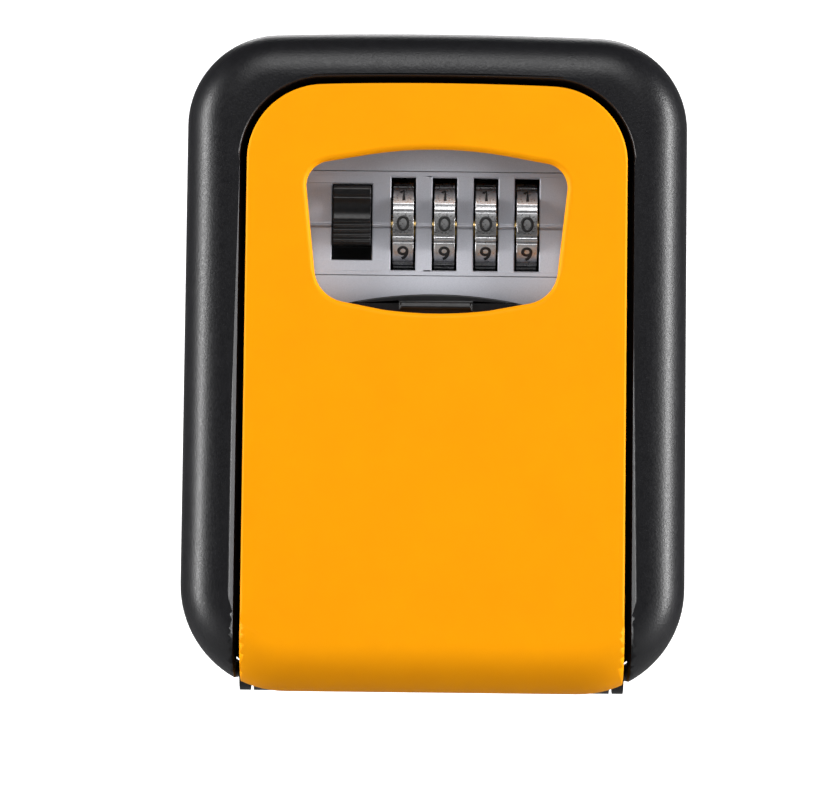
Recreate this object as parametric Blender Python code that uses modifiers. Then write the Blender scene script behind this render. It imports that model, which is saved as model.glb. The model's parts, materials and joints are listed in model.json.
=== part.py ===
"""Wall-mounted key lock box with a four-dial combination lock.

Units are metres. +Z is up, the front faces -Y, and the back face lies in the plane Y = 0.
The origin is the centre of the back face.
"""

import math

import bmesh
import bpy
from mathutils import Matrix, Vector

MM = 0.001

# ---- driving dimensions -------------------------------------------------------------------
CASE_HALF = 47.5 * MM
CASE_TOP = 62.5 * MM
CASE_DEPTH = 40 * MM
CASE_CORNER_TOP = 17.5 * MM
CASE_CORNER_BOTTOM = 20 * MM
CASE_CROWN = 1.1 * MM
CASE_EDGE = 9 * MM
CASE_WALL = 2.2 * MM

DOOR_HALF = 35.8 * MM
DOOR_TOP = 51.9 * MM
DOOR_CORNER = 14.5 * MM
DOOR_CROWN = 1 * MM
DOOR_REAR = -23.8 * MM
DOOR_SKIN = 2.1 * MM
SKIRT = 2 * MM
SEAM = 1.3 * MM
COLLAR = 1.8 * MM
COLLAR_REAR = -24 * MM
NOTCH_REAR = -14.6 * MM
PAST = 2 * MM

HINGE_Y = -19.5 * MM
HINGE_Z = -58.5 * MM
KNUCKLE_RADIUS = 4 * MM
KNUCKLE_HALF = 33.9 * MM
PIN_RADIUS = 1.5 * MM
RUNNING_RADIUS = 1.8 * MM

BACK_PLATE = 3 * MM
TRAY_FRONT = -21.8 * MM
TRAY_BOTTOM = -53.5 * MM
TRAY_FLOOR = -51.5 * MM
TRAY_OUTER = 1 * MM
TRAY_INNER = -1.5 * MM

DIAL_Y = -26.6 * MM
DIAL_Z = 25.75 * MM
DIAL_PITCH = 7.8 * MM
DIAL_FIRST_X = -6.3 * MM
DIAL_RADIUS = 9.5 * MM
DIAL_HALF_WIDTH = 1.95 * MM
DIAL_COUNT = 4
DIGITS = 10
SHIFT_PLANE = -0.3 * MM

BUTTON_X = -16 * MM
BUTTON_HALF = 3.55 * MM
LATCH_REAR = -15.2 * MM
LATCH_FRONT = -16.4 * MM
FLANGE_FRONT = -31.9 * MM

PLATE_FRONT = -36.1 * MM
PLATE_THICK = 1.6 * MM
PLATE_DISH = 2.3 * MM
DISH_HALF = 15.2 * MM
PLATE_HALF = 28.4 * MM
PLATE_TOP = 42.5 * MM
PLATE_BOTTOM = -23 * MM
INDEX_Z = 25.5 * MM

SHUTTER_FRONT = -37.6 * MM
SHUTTER_REAR = -36.4 * MM
SHUTTER_HALF = 26.6 * MM
SHUTTER_BOTTOM = -21 * MM
SHUTTER_TOP = 12.2 * MM
ARC_RADIUS = 78 * MM

WINDOW_TOP = 39.4 * MM
WINDOW_BOTTOM = 8.4 * MM

LINER_FRONT = -31.6 * MM
LINER_REAR = -30 * MM

SCREW_SHANK = 1.2 * MM
SCREW_HOLE = 1.5 * MM

DIAL_XS = [DIAL_FIRST_X + i * DIAL_PITCH for i in range(DIAL_COUNT)]
LINER_SCREWS = [(20 * MM, 45 * MM), (28.4 * MM, -44 * MM)]
COVER_SCREWS = [(-14 * MM, 40.9 * MM), (26 * MM, 40.9 * MM), (-18.5 * MM, 6.4 * MM), (26 * MM, 6.4 * MM)]
BEZEL_SCREWS = [(41.6 * MM, 38 * MM), (41.6 * MM, -36 * MM)]
WALL_HOLES = [(22 * MM, 28 * MM), (22 * MM, -36 * MM)]


# ---- scene and materials ------------------------------------------------------------------
def clear_scene():
    for obj in list(bpy.data.objects):
        bpy.data.objects.remove(obj, do_unlink=True)


def new_collection(name):
    collection = bpy.data.collections.new(name)
    bpy.context.scene.collection.children.link(collection)
    return collection


def new_material(name, colour, roughness, metallic=0.0):
    material = bpy.data.materials.new(name)
    material.use_nodes = True
    shader = material.node_tree.nodes["Principled BSDF"]
    shader.inputs["Base Color"].default_value = (*colour, 1)
    shader.inputs["Roughness"].default_value = roughness
    shader.inputs["Metallic"].default_value = metallic
    return material


clear_scene()
PARTS = new_collection("key_lock_box")
CUTTERS = new_collection("cutters")
MATERIALS = {
    "black_case": new_material("black_case", (0.03, 0.03, 0.034), 0.45),
    "orange_door": new_material("orange_door", (0.9, 0.35, 0.01), 0.4),
    "grey_plate": new_material("grey_plate", (0.36, 0.36, 0.4), 0.38, 0.5),
    "black_button": new_material("black_button", (0.012, 0.012, 0.013), 0.3),
    "black_liner": new_material("black_liner", (0.035, 0.035, 0.038), 0.5),
    "chrome": new_material("chrome", (0.7, 0.7, 0.7), 0.15, 1.0),
    "cast_zinc": new_material("cast_zinc", (0.45, 0.46, 0.48), 0.4, 1.0),
    "sheet_steel": new_material("sheet_steel", (0.5, 0.5, 0.5), 0.3, 1.0),
    "spring_steel": new_material("spring_steel", (0.55, 0.55, 0.56), 0.25, 1.0),
    "brass": new_material("brass", (0.7, 0.5, 0.2), 0.3, 1.0),
    "seal_rubber": new_material("seal_rubber", (0.015, 0.015, 0.015), 0.8),
}


def finish_part(obj, material, smooth_angle=35):
    """Gives a finished sub-part its material and its place in the collection of parts."""
    for collection in list(obj.users_collection):
        collection.objects.unlink(obj)
    PARTS.objects.link(obj)
    obj.data.materials.clear()
    obj.data.materials.append(MATERIALS[material])
    if obj.type == "MESH":
        obj.data.shade_smooth()
        obj.data.set_sharp_from_angle(angle=math.radians(smooth_angle))
    return obj


def as_cutter(obj):
    if PARTS in obj.users_collection:
        PARTS.objects.unlink(obj)
    if CUTTERS not in obj.users_collection:
        CUTTERS.objects.link(obj)
    obj.hide_render = True
    obj.display_type = "WIRE"
    return obj


def place(obj):
    PARTS.objects.link(obj)
    return obj


# ---- shape tools --------------------------------------------------------------------------
def rounded(corners, degrees=12):
    """A closed outline from (u, v, radius) corners, each radius turned into an arc."""
    outline = []
    for i, (u, v, radius) in enumerate(corners):
        here = Vector((u, v))
        before = (Vector(corners[i - 1][:2]) - here).normalized()
        after = (Vector(corners[(i + 1) % len(corners)][:2]) - here).normalized()
        if radius <= 0:
            outline.append(here)
            continue
        half = before.angle(after) / 2
        centre = here + (before + after).normalized() * radius / math.sin(half)
        reach = radius / math.tan(half)
        first = here + before * reach - centre
        last = here + after * reach - centre
        start = math.atan2(first.y, first.x)
        sweep = (math.atan2(last.y, last.x) - start + math.pi) % math.tau - math.pi
        steps = max(1, round(abs(math.degrees(sweep)) / degrees))
        for k in range(steps + 1):
            angle = start + sweep * k / steps
            outline.append(centre + radius * Vector((math.cos(angle), math.sin(angle))))
    return outline


def circle(u, v, radius, sides):
    turns = [math.tau * k / sides for k in range(sides)]
    return [(u + radius * math.cos(t), v + radius * math.sin(t)) for t in turns]


AXIS_FRAMES = {
    "X": Matrix(((0, 0, 1, 0), (1, 0, 0, 0), (0, 1, 0, 0), (0, 0, 0, 1))),
    "Y": Matrix(((1, 0, 0, 0), (0, 0, -1, 0), (0, 1, 0, 0), (0, 0, 0, 1))),
    "Z": Matrix.Identity(4),
}
AXES = {"X": Vector((1, 0, 0)), "Y": Vector((0, 1, 0)), "Z": Vector((0, 0, 1))}


def flat_solid(name, outlines, low, high, along="Y"):
    """The first outline is the edge and the others are holes. It spans low to high along an axis.

    Across Y an outline is in (x, z), across X in (y, z) and across Z in (x, y).
    """
    curve = bpy.data.curves.new(name, "CURVE")
    curve.dimensions = "2D"
    curve.fill_mode = "BOTH"
    curve.extrude = (high - low) / 2
    for outline in outlines:
        spline = curve.splines.new("POLY")
        spline.points.add(len(outline) - 1)
        for point, (u, v) in zip(spline.points, outline):
            point.co = (u, v, 0, 1)
        spline.use_cyclic_u = True
    source = place(bpy.data.objects.new(name, curve))
    graph = bpy.context.evaluated_depsgraph_get()
    mesh = bpy.data.meshes.new_from_object(source.evaluated_get(graph))
    bpy.data.objects.remove(source)
    middle = Matrix.Translation(AXES[along] * (low + high) / 2)
    mesh.transform(middle @ AXIS_FRAMES[along])
    shape = bmesh.new()
    shape.from_mesh(mesh)
    bmesh.ops.remove_doubles(shape, verts=shape.verts, dist=0.00001 * MM)
    bmesh.ops.recalc_face_normals(shape, faces=shape.faces)
    shape.to_mesh(mesh)
    shape.free()
    mesh.name = name
    return place(bpy.data.objects.new(name, mesh))


def from_bmesh(name, shape):
    mesh = bpy.data.meshes.new(name)
    shape.to_mesh(mesh)
    shape.free()
    return place(bpy.data.objects.new(name, mesh))


def box(name, x, y, z):
    """A box between the (low, high) pairs x, y and z."""
    spans = [Vector(pair) for pair in (x, y, z)]
    centre = Matrix.Translation([(s.x + s.y) / 2 for s in spans])
    sides = Matrix.Diagonal([*(s.y - s.x for s in spans), 1])
    shape = bmesh.new()
    bmesh.ops.create_cube(shape, size=1, matrix=centre @ sides)
    return from_bmesh(name, shape)


def cylinder(name, radius, low, high, centre, along, sides=24, end_radius=None):
    """A round solid from low to high along an axis. centre gives its two other coordinates."""
    u, v = centre
    offset = {"X": (0, u, v), "Y": (u, 0, v), "Z": (u, v, 0)}[along]
    middle = Matrix.Translation(Vector(offset) + AXES[along] * (low + high) / 2)
    upright = AXES[along].to_track_quat("Z", "Y").to_matrix().to_4x4()
    shape = bmesh.new()
    bmesh.ops.create_cone(
        shape,
        cap_ends=True,
        segments=sides,
        radius1=radius,
        radius2=radius if end_radius is None else end_radius,
        depth=high - low,
        matrix=middle @ upright,
    )
    return from_bmesh(name, shape)


def boolean(target, operation, *tools):
    for tool in tools:
        modifier = target.modifiers.new(operation.lower(), "BOOLEAN")
        modifier.operation = operation
        modifier.object = as_cutter(tool)
    return target


def cut(target, *tools):
    return boolean(target, "DIFFERENCE", *tools)


def join(target, *tools):
    return boolean(target, "UNION", *tools)


def shared_part(target, *tools):
    return boolean(target, "INTERSECT", *tools)


def baked(obj):
    """Turns the modifiers of an object into its mesh, so that copies can share it."""
    graph = bpy.context.evaluated_depsgraph_get()
    mesh = bpy.data.meshes.new_from_object(obj.evaluated_get(graph))
    obj.modifiers.clear()
    obj.data = mesh
    return obj


def bevel(obj, width, segments, angle=50):
    modifier = obj.modifiers.new("bevel", "BEVEL")
    modifier.width = width
    modifier.segments = segments
    modifier.limit_method = "ANGLE"
    modifier.angle_limit = math.radians(angle)
    return obj


def coil(name, material, radius, wire, turns, start, end):
    """A compression spring from start to end, round the line between them."""
    steps = 10
    count = turns * steps
    line = end - start
    side = line.orthogonal().normalized()
    other = line.normalized().cross(side)
    curve = bpy.data.curves.new(name, "CURVE")
    curve.dimensions = "3D"
    curve.bevel_depth = wire
    curve.bevel_resolution = 1
    curve.use_fill_caps = True
    spline = curve.splines.new("POLY")
    spline.points.add(count)
    for k, point in enumerate(spline.points):
        turn = math.tau * k / steps
        round_it = (side * math.cos(turn) + other * math.sin(turn)) * radius
        point.co = (*(start + line * k / count + round_it), 1)
    return finish_part(place(bpy.data.objects.new(name, curve)), material)


# ---- outlines in the XZ plane -------------------------------------------------------------
def crowned_box(half, top, bottom, corner_top, corner_bottom, crown):
    """A rounded upright rectangle whose top edge bulges by crown."""
    middle = []
    for share in (0.5, 0.25, 0, -0.25, -0.5):
        middle.append((half * share, top - crown * share**2, 0))
    return rounded(
        [
            (half, bottom, corner_bottom),
            (half, top - crown, corner_top),
            *middle,
            (-half, top - crown, corner_top),
            (-half, bottom, corner_bottom),
        ]
    )


def case_outline(inset):
    return crowned_box(
        CASE_HALF - inset,
        CASE_TOP - inset,
        inset - CASE_TOP,
        CASE_CORNER_TOP - inset,
        CASE_CORNER_BOTTOM - inset,
        CASE_CROWN,
    )


def door_outline(offset, bottom, corner=0.0):
    return crowned_box(
        DOOR_HALF + offset, DOOR_TOP + offset, bottom, DOOR_CORNER + offset, corner, DOOR_CROWN
    )


def arc_height(peak, x, sign=1):
    """The height at x of an arc of ARC_RADIUS whose highest (or lowest) point is peak."""
    return peak - sign * (ARC_RADIUS - math.sqrt(ARC_RADIUS**2 - x**2))


def window_outline():
    """The opening over the dials: wider at the top, with bowed top and bottom edges."""
    upper = [(x * MM, arc_height(WINDOW_TOP, x * MM), 0) for x in (13, 6.5, 0, -6.5, -13)]
    lower = [(x * MM, arc_height(WINDOW_BOTTOM, x * MM, -1), 0) for x in (-10, -5, 0, 5, 10)]
    right = [(22.3 * MM, 11.4 * MM, 6.5 * MM), (25 * MM, 36.2 * MM, 4.6 * MM)]
    left = [(-x, z, radius) for x, z, radius in reversed(right)]
    return rounded([*right, *upper, *left, *lower])


# ---- housing ------------------------------------------------------------------------------
def case_solid(name, inset, front, back, edge):
    """The rounded outer form of the box, or a smaller copy of it inset on all sides."""
    shape = bmesh.new()
    rim = [shape.verts.new((x, back, z)) for x, z in case_outline(inset)]
    face = shape.faces.new(rim)
    grown = bmesh.ops.extrude_face_region(shape, geom=[face])
    moved = [item for item in grown["geom"] if isinstance(item, bmesh.types.BMVert)]
    bmesh.ops.translate(shape, verts=moved, vec=(0, front - back, 0))
    bmesh.ops.recalc_face_normals(shape, faces=shape.faces)
    front_edges = [e for e in shape.edges if all(abs(v.co.y - front) < 1e-7 for v in e.verts)]
    bmesh.ops.bevel(
        shape, geom=front_edges, offset=edge, segments=6, profile=0.5, affect="EDGES", clamp_overlap=False
    )
    return from_bmesh(name, shape)


def front_bezel():
    bezel = case_solid("front_bezel", 0, -CASE_DEPTH, 0, CASE_EDGE)
    hollow = case_solid("bezel_hollow", CASE_WALL, CASE_WALL - CASE_DEPTH, PAST, CASE_EDGE - CASE_WALL)
    below = -CASE_TOP - 10 * MM
    past_front = -CASE_DEPTH - PAST
    collar = flat_solid("bezel_collar", [door_outline(SEAM + COLLAR, below)], past_front, COLLAR_REAR)
    bosses = []
    holes = []
    for side in (-1, 1):
        for k, (x, z) in enumerate(BEZEL_SCREWS):
            name = f"bezel_boss_{side}_{k}"
            bosses.append(
                cylinder(name, 3.8 * MM, past_front, -BACK_PLATE - 0.3 * MM, (side * x, z), "Y", 20)
            )
            name = f"bezel_boss_hole_{side}_{k}"
            holes.append(cylinder(name, SCREW_HOLE, -12 * MM, 0, (side * x, z), "Y", 12))
    cut(hollow, collar, *bosses)
    opening = flat_solid("door_opening", [door_outline(SEAM, below)], past_front, NOTCH_REAR)
    cut(bezel, hollow, opening, *holes)
    return finish_part(bezel, "black_case")


def ear_profile():
    """The side lug that carries the hinge pin, in the YZ plane, rounded below the pin."""
    back, top, low = -2.5 * MM, -52 * MM, HINGE_Z + 2 * MM
    step = -21.4 * MM
    rear = math.asin(2 * MM / KNUCKLE_RADIUS)
    around = []
    for k in range(10):
        angle = rear + (-math.pi - rear) * k / 9
        around.append(
            (HINGE_Y + KNUCKLE_RADIUS * math.cos(angle), HINGE_Z + KNUCKLE_RADIUS * math.sin(angle))
        )
    front = [(HINGE_Y - KNUCKLE_RADIUS, -56 * MM), (step, TRAY_BOTTOM - 0.4 * MM), (step, top)]
    return [(back, top), (back, low), *around, *front]


def rear_tray():
    tray = flat_solid("rear_tray", [case_outline(CASE_WALL + 0.3 * MM)], -BACK_PLATE, 0)
    wall = flat_solid(
        "tray_wall",
        [
            door_outline(TRAY_OUTER, TRAY_BOTTOM, 3 * MM),
            door_outline(TRAY_INNER, TRAY_FLOOR, 2 * MM),
        ],
        TRAY_FRONT,
        -1 * MM,
    )
    pin_hole = circle(HINGE_Y, HINGE_Z, RUNNING_RADIUS, 16)
    ears = []
    for side in (-1, 1):
        low, high = sorted((side * 34.5 * MM, side * 36.6 * MM))
        ears.append(flat_solid(f"hinge_ear_{side}", [ear_profile(), pin_hole], low, high, "X"))
    join(tray, wall, *ears)
    for side in (-1, 1):
        for k, (x, z) in enumerate(WALL_HOLES):
            at = (side * x, z)
            hole = cylinder(f"wall_hole_{side}_{k}", 2.6 * MM, -5 * MM, PAST, at, "Y", 20)
            sink = cylinder(f"wall_sink_{side}_{k}", 5 * MM, -3.4 * MM, -1.2 * MM, at, "Y", 20, 2.5 * MM)
            cut(tray, hole, sink)
        for k, (x, z) in enumerate(BEZEL_SCREWS):
            at = (side * x, z)
            hole = cylinder(f"screw_hole_{side}_{k}", SCREW_HOLE, -5 * MM, PAST, at, "Y", 12)
            sink = cylinder(f"screw_sink_{side}_{k}", 1.4 * MM, -1.7 * MM, 0.2 * MM, at, "Y", 16, 3.1 * MM)
            cut(tray, hole, sink)
        at = (side * 5 * MM, -10 * MM)
        cut(tray, cylinder(f"strike_hole_{side}", SCREW_HOLE, 48 * MM, 55 * MM, at, "Z", 12))
    return finish_part(tray, "black_case")


def tray_gasket():
    outlines = [
        door_outline(TRAY_OUTER - 0.3 * MM, TRAY_BOTTOM + 0.3 * MM, 2.7 * MM),
        door_outline(TRAY_INNER + 0.3 * MM, TRAY_FLOOR - 0.3 * MM, 2.3 * MM),
    ]
    return finish_part(flat_solid("tray_gasket", outlines, -23.4 * MM, -22.1 * MM), "seal_rubber")


def strike_plate():
    """An angle of sheet steel under the tray's top wall. Its front leg holds the latch."""
    profile = [
        (-18.2 * MM, 46.5 * MM),
        (-16.9 * MM, 46.5 * MM),
        (-16.9 * MM, 48.9 * MM),
        (-6 * MM, 48.9 * MM),
        (-6 * MM, 50 * MM),
        (-18.2 * MM, 50 * MM),
    ]
    plate = flat_solid("strike_plate", [profile], -8.5 * MM, 8.5 * MM, "X")
    for side in (-1, 1):
        at = (side * 5 * MM, -10 * MM)
        cut(plate, cylinder(f"strike_plate_hole_{side}", SCREW_HOLE, 48 * MM, 51 * MM, at, "Z", 12))
    return finish_part(plate, "sheet_steel")


def hinge_pin():
    pin = cylinder(
        "hinge_pin", PIN_RADIUS, -36.8 * MM, 36.8 * MM, (HINGE_Y, HINGE_Z), "X", 16
    )
    return finish_part(pin, "sheet_steel")


# ---- door ---------------------------------------------------------------------------------
def door_cover():
    below = -CASE_TOP - 10 * MM
    past_front = -CASE_DEPTH - PAST
    cover = flat_solid("door_cover", [door_outline(0, below)], past_front, DOOR_REAR)
    shared_part(cover, case_solid("cover_form", 0, -CASE_DEPTH, 0, CASE_EDGE))
    hollow = flat_solid("cover_hollow", [door_outline(-SKIRT, below)], past_front, 0)
    inner_form = case_solid(
        "cover_inner_form", DOOR_SKIN, DOOR_SKIN - CASE_DEPTH, PAST, CASE_EDGE - DOOR_SKIN
    )
    shared_part(hollow, inner_form)
    window = flat_solid("cover_window", [window_outline()], past_front, -30 * MM)
    cut(cover, hollow, window)
    for side in (-1, 1):
        for k, (x, z) in enumerate(LINER_SCREWS):
            at = (side * x, z)
            name = f"cover_boss_{side}_{k}"
            boss = cylinder(name, 2.2 * MM, -38.6 * MM, LINER_FRONT - 0.3 * MM, at, "Y", 16)
            hole = cylinder(name + "_hole", SCREW_HOLE, -36.4 * MM, -30 * MM, at, "Y", 12)
            join(cover, boss)
            cut(cover, hole)
    return finish_part(cover, "orange_door")


def door_liner():
    """The door's inner plate with its rim, its floor and the hinge knuckle along its lower edge."""
    liner = flat_solid(
        "door_liner",
        [
            door_outline(-SKIRT - 0.3 * MM, -56.2 * MM),
            [(-21 * MM, 10.4 * MM), (30.2 * MM, 10.4 * MM), (30.2 * MM, 36.8 * MM), (-21 * MM, 36.8 * MM)],
        ],
        LINER_FRONT,
        LINER_REAR,
    )
    rim = flat_solid(
        "liner_rim",
        [door_outline(-SKIRT - 0.3 * MM, -56.2 * MM), door_outline(-4.1 * MM, -51.2 * MM, 1.5 * MM)],
        LINER_REAR - 0.8 * MM,
        DOOR_REAR,
    )
    floor = box(
        "liner_floor", (-KNUCKLE_HALF + 0.6 * MM, KNUCKLE_HALF - 0.6 * MM),
        (-31 * MM, HINGE_Y), (-57.6 * MM, -55.6 * MM),
    )
    knuckle = cylinder(
        "liner_knuckle", KNUCKLE_RADIUS, -KNUCKLE_HALF, KNUCKLE_HALF, (HINGE_Y, HINGE_Z), "X", 24
    )
    bore = cylinder(
        "liner_bore", RUNNING_RADIUS, -40 * MM, 40 * MM, (HINGE_Y, HINGE_Z), "X", 16
    )
    join(liner, rim, floor, knuckle)
    cut(liner, bore)
    for k, at in enumerate(COVER_SCREWS):
        boss = cylinder(f"liner_boss_{k}", 2.4 * MM, -34.1 * MM, LINER_FRONT + 0.5 * MM, at, "Y", 16)
        hole = cylinder(f"liner_boss_hole_{k}", SCREW_HOLE, -36 * MM, -28 * MM, at, "Y", 12)
        join(liner, boss)
        cut(liner, hole)
    for side in (-1, 1):
        for k, (x, z) in enumerate(LINER_SCREWS):
            at = (side * x, z)
            cut(liner, cylinder(f"liner_hole_{side}_{k}", SCREW_HOLE, -36 * MM, -28 * MM, at, "Y", 12))
    return finish_part(liner, "black_liner")


def plate_front(z):
    """The plate's front surface: flat, with a smooth dish round the dials."""
    reach = abs(z - DIAL_Z) / DISH_HALF
    if reach >= 1:
        return PLATE_FRONT
    return PLATE_FRONT + PLATE_DISH * math.cos(reach * math.pi / 2) ** 2


def dial_plate():
    heights = [PLATE_BOTTOM, DIAL_Z - DISH_HALF]
    steps = 12
    heights += [DIAL_Z - DISH_HALF + 2 * DISH_HALF * k / steps for k in range(1, steps + 1)]
    heights.append(PLATE_TOP)
    front = [(plate_front(z), z) for z in heights]
    back = [(y + PLATE_THICK, z) for y, z in reversed(front)]
    plate = flat_solid("dial_plate", [front + back], -PLATE_HALF, PLATE_HALF, "X")
    index_front = plate_front(INDEX_Z) - 0.35 * MM
    index_line = box(
        "index_line", (-PLATE_HALF + 2 * MM, PLATE_HALF - 2 * MM),
        (index_front, index_front + 1 * MM), (INDEX_Z - 0.25 * MM, INDEX_Z + 0.25 * MM),
    )
    join(plate, index_line)
    for side in (-1, 1):
        low, high = sorted((side * 26.9 * MM, side * 28.1 * MM))
        rail = box(
            f"shutter_rail_{side}", (low, high), (SHUTTER_FRONT, PLATE_FRONT + 0.6 * MM),
            (PLATE_BOTTOM + 0.4 * MM, PLATE_TOP - 0.4 * MM),
        )
        join(plate, rail)
    for k, x in enumerate(DIAL_XS):
        slot = box(
            f"dial_slot_{k}", (x - 2.35 * MM, x + 2.35 * MM), (-40 * MM, -28 * MM),
            (DIAL_Z - 8.85 * MM, DIAL_Z + 8.85 * MM),
        )
        cut(plate, slot)
    slot = box(
        "button_slot", (BUTTON_X - 3.8 * MM, BUTTON_X + 3.8 * MM), (-40 * MM, -28 * MM),
        (18.8 * MM, 33.2 * MM),
    )
    cut(plate, slot)
    return finish_part(plate, "grey_plate")


def dial_shutter():
    """The weather cover that slides up over the dials. Its top edge follows the window's."""
    edge = []
    for k in range(13):
        x = SHUTTER_HALF * (1 - k / 6)
        edge.append((x, arc_height(SHUTTER_TOP, x)))
    outline = [(-SHUTTER_HALF, SHUTTER_BOTTOM), (SHUTTER_HALF, SHUTTER_BOTTOM), *edge]
    shutter = flat_solid("dial_shutter", [outline], SHUTTER_FRONT, SHUTTER_REAR)
    grip = box(
        "shutter_grip", (-6.7 * MM, 6.7 * MM), (-38.1 * MM, SHUTTER_FRONT + 0.5 * MM),
        (9.3 * MM, 10.4 * MM),
    )
    join(shutter, grip)
    return finish_part(shutter, "black_button")


def mechanism_cover():
    cover = box("mechanism_cover", (-22.3 * MM, 31.2 * MM), (-29.7 * MM, -12.2 * MM), (9 * MM, 38.2 * MM))
    tabs = []
    for k, (x, z) in enumerate(COVER_SCREWS):
        inner = 12 * MM if z < DIAL_Z else 36 * MM
        corners = [
            (x - 3 * MM, inner, 0),
            (x - 3 * MM, 2 * z - inner, 0),
            (x + 3 * MM, 2 * z - inner, 0),
            (x + 3 * MM, inner, 0),
        ]
        reach = z + math.copysign(3 * MM, z - DIAL_Z)
        corners[1] = (x - 3 * MM, reach, 2.4 * MM)
        corners[2] = (x + 3 * MM, reach, 2.4 * MM)
        tabs.append(flat_solid(f"cover_tab_{k}", [rounded(corners, 20)], -29.7 * MM, -28.3 * MM))
    join(cover, *tabs)
    hollow = box("mechanism_hollow", (-20.9 * MM, 29.8 * MM), (-31 * MM, -13.6 * MM), (10.4 * MM, 36.8 * MM))
    bolt_slot = box("bolt_slot", (-6.4 * MM, 6.4 * MM), (-17 * MM, -14.6 * MM), (35 * MM, 40 * MM))
    lever_slot = box("lever_slot", (-12.6 * MM, -7.5 * MM), (-15 * MM, -11 * MM), (23.1 * MM, 28.4 * MM))
    cut(cover, hollow, bolt_slot, lever_slot)
    for k, at in enumerate(COVER_SCREWS):
        cut(cover, cylinder(f"tab_hole_{k}", SCREW_HOLE, -31 * MM, -27 * MM, at, "Y", 12))
    return finish_part(cover, "black_liner")


def lock_chassis():
    """The cast bracket that carries the dial shaft between two cheeks."""
    chassis = box("lock_chassis", (-20.5 * MM, 29.4 * MM), (-30.5 * MM, -14.8 * MM), (11.4 * MM, 13 * MM))
    for k, (low, high) in enumerate(((-13.6, -12.2), (27.2, 28.8))):
        cheek = flat_solid(
            f"chassis_cheek_{k}",
            [
                rounded(
                    [
                        (-30.5 * MM, 12 * MM, 0),
                        (-20 * MM, 12 * MM, 0),
                        (-20 * MM, 32.5 * MM, 4 * MM),
                        (-30.5 * MM, 32.5 * MM, 4 * MM),
                    ],
                    30,
                ),
                circle(DIAL_Y, DIAL_Z, RUNNING_RADIUS, 16),
            ],
            low * MM,
            high * MM,
            "X",
        )
        join(chassis, cheek)
    return finish_part(chassis, "cast_zinc")


def dial_shaft():
    shaft = cylinder("dial_shaft", PIN_RADIUS, -14 * MM, 29.4 * MM, (DIAL_Y, DIAL_Z), "X", 16)
    return finish_part(shaft, "sheet_steel")


def detent_spring():
    """A leaf spring on the chassis floor, with one finger under each dial."""
    leaf = box("detent_spring", (-8.6 * MM, 19.4 * MM), (-20.6 * MM, -17 * MM), (13.3 * MM, 13.7 * MM))
    tip = DIAL_Z - DIAL_RADIUS - 0.3 * MM
    finger_profile = [
        (-20.2 * MM, 13.3 * MM),
        (-20.2 * MM, 13.7 * MM),
        (DIAL_Y, tip),
        (DIAL_Y - 1.4 * MM, tip - 0.7 * MM),
        (DIAL_Y - 1.4 * MM, tip - 1.1 * MM),
        (DIAL_Y, tip - 0.4 * MM),
    ]
    for k, x in enumerate(DIAL_XS):
        name = f"detent_finger_{k}"
        join(leaf, flat_solid(name, [finger_profile], x - 1.2 * MM, x + 1.2 * MM, "X"))
    return finish_part(leaf, "spring_steel")


# ---- dials --------------------------------------------------------------------------------
def polar(radius, degrees):
    """A point in a dial's own (y, z) plane. Zero degrees faces the front, and it grows upwards."""
    angle = math.radians(degrees)
    return (-radius * math.cos(angle), radius * math.sin(angle))


def dial_rim():
    """Ten flat tiles with a narrow grip ridge between each two."""
    pitch = 360 / DIGITS
    profile = ((-12, 0), (12, 0), (13.6, 0.6), (15.8, 0.15), (20.2, 0.15), (22.4, 0.6))
    rim = []
    for digit in range(DIGITS):
        for degrees, drop in profile:
            rim.append(polar(DIAL_RADIUS - drop * MM, digit * pitch + degrees))
    return rim


def key_star():
    """The dial's bore with ten key slots."""
    pitch = 360 / DIGITS
    star = []
    for digit in range(DIGITS):
        middle = 90 + digit * pitch
        star.append(polar(3 * MM, middle - 15))
        star.append(polar(4.5 * MM, middle - 9.5))
        star.append(polar(4.5 * MM, middle + 9.5))
        star.append(polar(3 * MM, middle + 15))
    return star


def dial_wheels():
    wheel = flat_solid("dial_wheel_1", [dial_rim()], -DIAL_HALF_WIDTH, DIAL_HALF_WIDTH, "X")
    star = flat_solid("wheel_star", [key_star()], -4 * MM, 4 * MM, "X")
    counterbore = cylinder("wheel_counterbore", 4.7 * MM, SHIFT_PLANE, 4 * MM, (0, 0), "X", 20)
    baked(cut(wheel, star, counterbore))
    wheels = [wheel]
    for i in range(1, DIAL_COUNT):
        wheels.append(place(bpy.data.objects.new(f"dial_wheel_{i + 1}", wheel.data)))
    for x, each in zip(DIAL_XS, wheels):
        each.location = (x, DIAL_Y, DIAL_Z)
        finish_part(each, "chrome")
    return wheels


def code_sleeves():
    """A keyed tube inside each dial, with a cam disc whose flat lets the latch down."""
    sleeve = cylinder("code_sleeve_1", 5.3 * MM, 2.35 * MM, 3.55 * MM, (0, 0), "X", 24)
    flat = box("cam_flat", (0, 5 * MM), (-8 * MM, 8 * MM), (2.75 * MM, 8 * MM))
    tube = cylinder("sleeve_tube", 2.7 * MM, -3.8 * MM, 3.7 * MM, (0, 0), "X", 20)
    key = box("sleeve_key", (-1.75 * MM, -0.6 * MM), (-0.5 * MM, 0.5 * MM), (2 * MM, 4.1 * MM))
    bore = cylinder("sleeve_bore", RUNNING_RADIUS, -6 * MM, 6 * MM, (0, 0), "X", 16)
    cut(sleeve, flat)
    join(sleeve, tube, key)
    baked(cut(sleeve, bore))
    sleeves = [sleeve]
    for i in range(1, DIAL_COUNT):
        sleeves.append(place(bpy.data.objects.new(f"code_sleeve_{i + 1}", sleeve.data)))
    for x, each in zip(DIAL_XS, sleeves):
        each.location = (x, DIAL_Y, DIAL_Z)
        finish_part(each, "brass")
    return sleeves


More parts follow.
